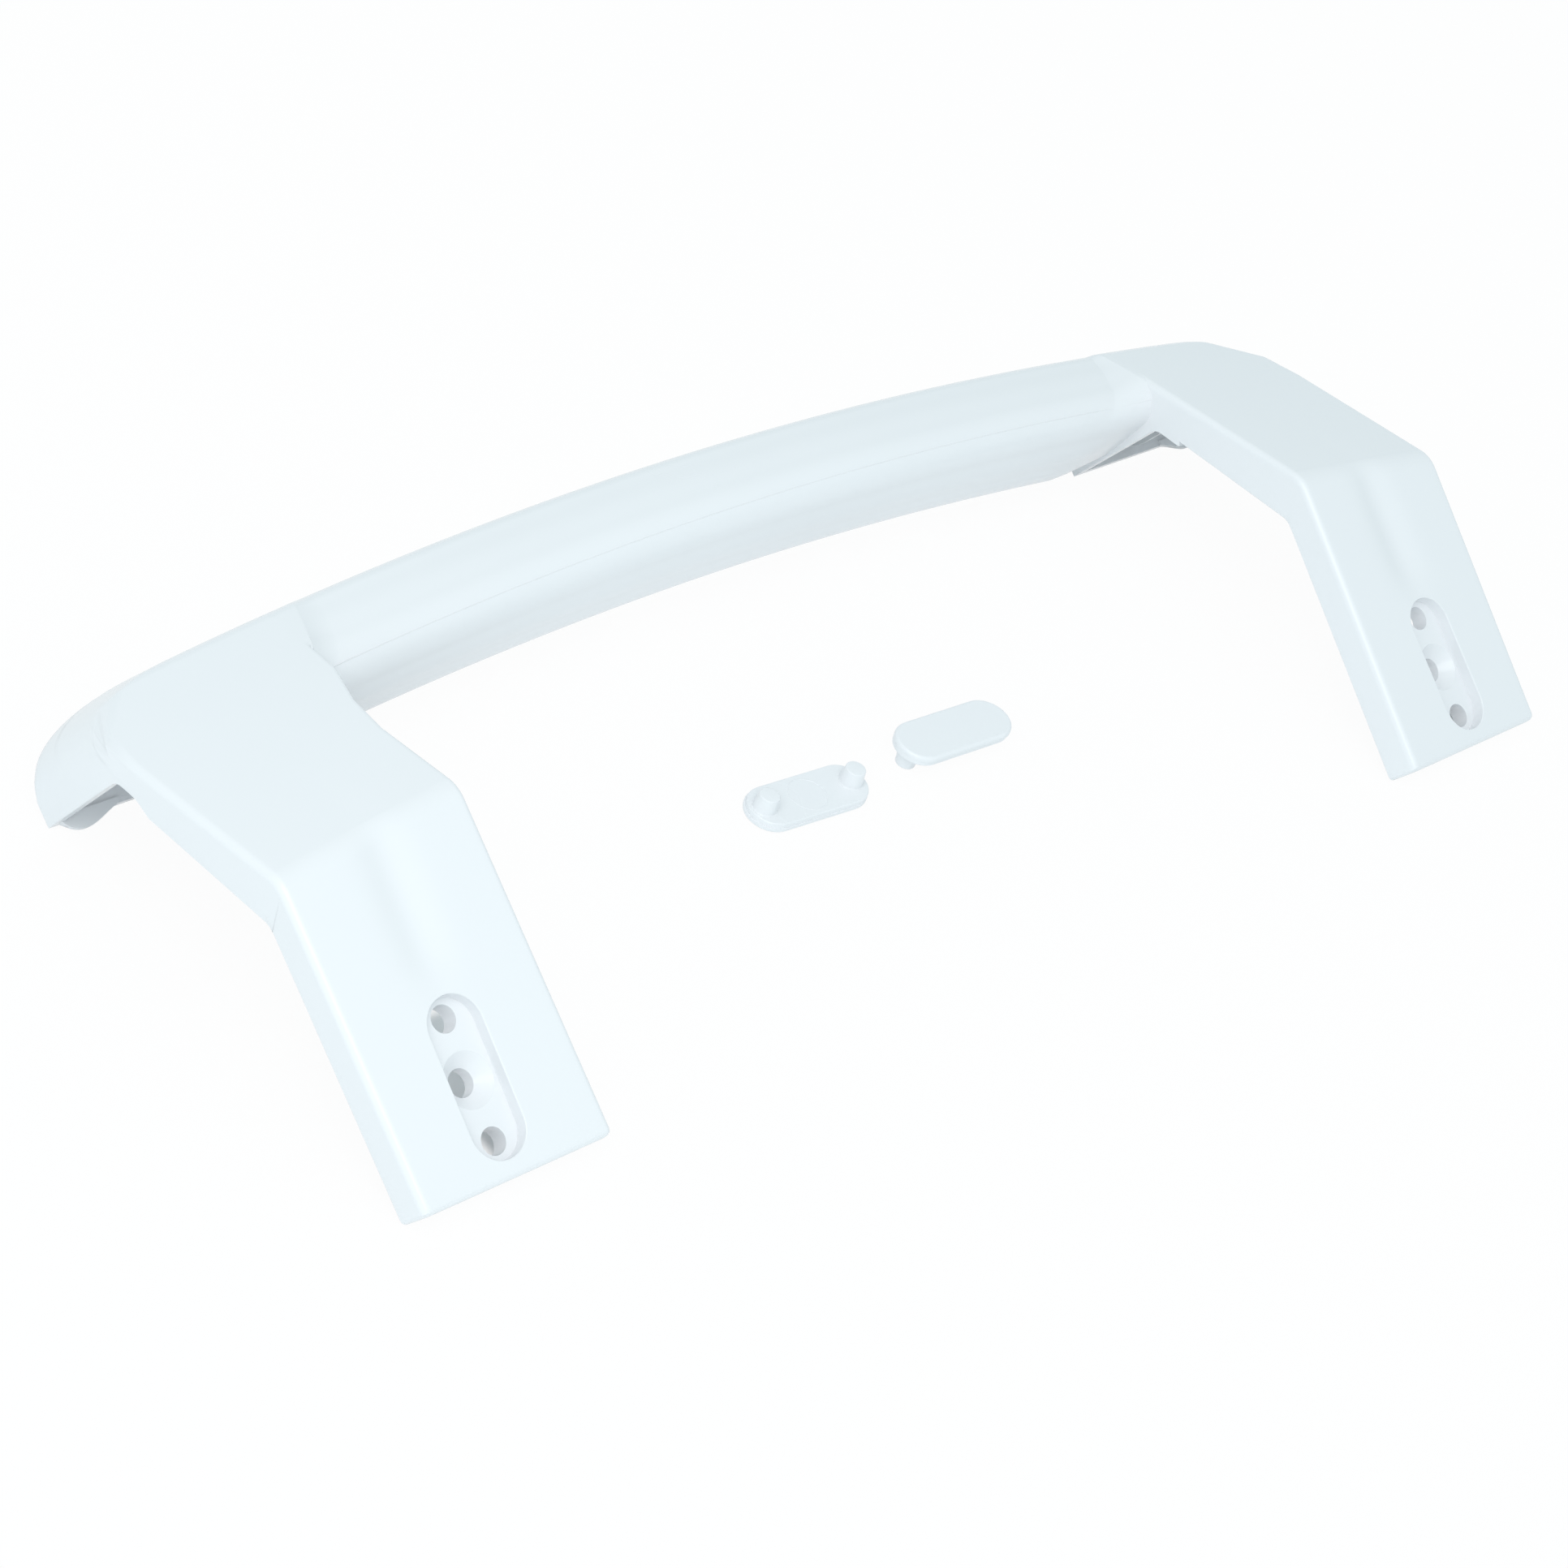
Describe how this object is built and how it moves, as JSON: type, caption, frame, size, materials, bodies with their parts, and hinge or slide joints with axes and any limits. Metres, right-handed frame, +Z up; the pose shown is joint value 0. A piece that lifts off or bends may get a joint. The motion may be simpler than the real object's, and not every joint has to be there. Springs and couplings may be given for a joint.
{
  "type": "refrigerator door handle",
  "caption": "Bowed white plastic bar handle with sloped arms and flat screw-on feet, shown off the door with its screw covers lying beside it.",
  "frame": {"origin": "on the surface the handle lies on, midway between its ends and between its front and back limits", "axes": "+X along the grip bar, +Y from the foot tips to the bar, +Z up from the surface that the foot tips and skirts stand on"},
  "size_m": [0.3624, 0.1434, 0.0462],
  "materials": {
    "handle_plastic": "smooth moulded gloss white",
    "cover_plastic": "smooth moulded gloss white"
  },
  "bodies": {
    "root": {"handle": "handle_plastic", "screw_cover_left": "cover_plastic", "screw_cover_right": "cover_plastic"}
  },
  "joints": []
}
